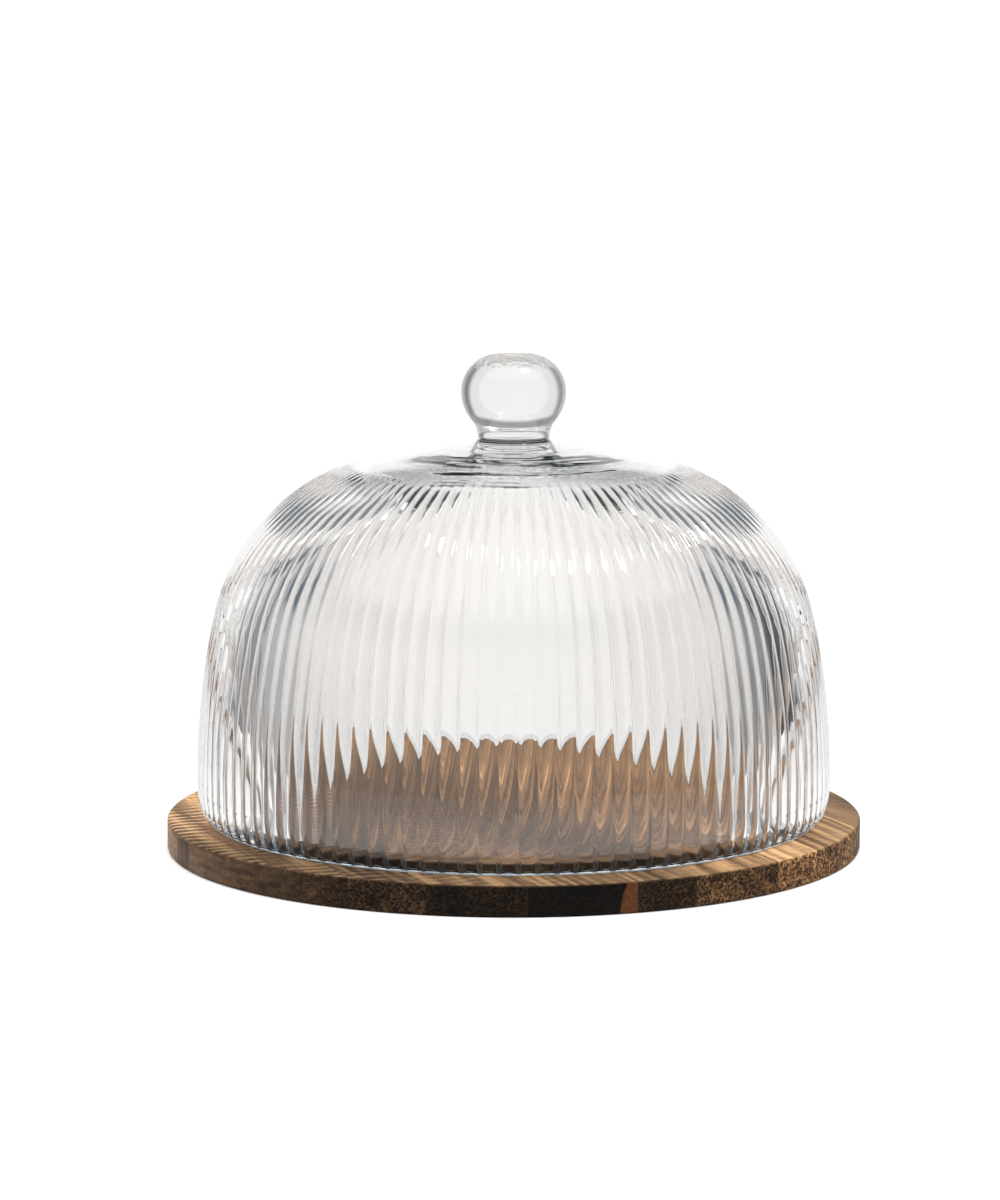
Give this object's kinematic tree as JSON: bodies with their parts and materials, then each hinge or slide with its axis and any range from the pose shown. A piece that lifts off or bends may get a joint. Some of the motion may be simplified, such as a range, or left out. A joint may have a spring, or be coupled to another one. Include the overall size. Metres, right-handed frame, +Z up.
{
  "type": "cheese dome",
  "caption": "Clear reeded glass dome with a round solid knob, lifting off a round wooden board of glued staves with a raised centre.",
  "frame": {"origin": "centre of the board's underside, on the surface it stands on", "axes": "+Z up along the axis of the dome and the board, -Y towards the front"},
  "size_m": [0.3, 0.3, 0.212],
  "materials": {
    "clear_glass": "clear polished soda-lime glass",
    "wood_brown": "oiled, satin",
    "wood_dark": "oiled, satin",
    "wood_golden": "oiled, satin"
  },
  "bodies": {
    "board": {"board_stave_1": "wood_golden", "board_stave_2": "wood_dark", "board_stave_3": "wood_brown", "board_stave_4": "wood_brown", "board_stave_5": "wood_brown", "board_stave_6": "wood_dark", "board_stave_7": "wood_golden", "board_stave_8": "wood_dark", "board_stave_9": "wood_brown"},
    "dome": {"dome_shell": "clear_glass", "dome_knob": "clear_glass"}
  },
  "joints": [
    {"name": "dome_lift", "type": "slide", "parent": "board", "child": "dome", "axis": [0, 0, 1], "range_m": [0, 0.25]}
  ]
}
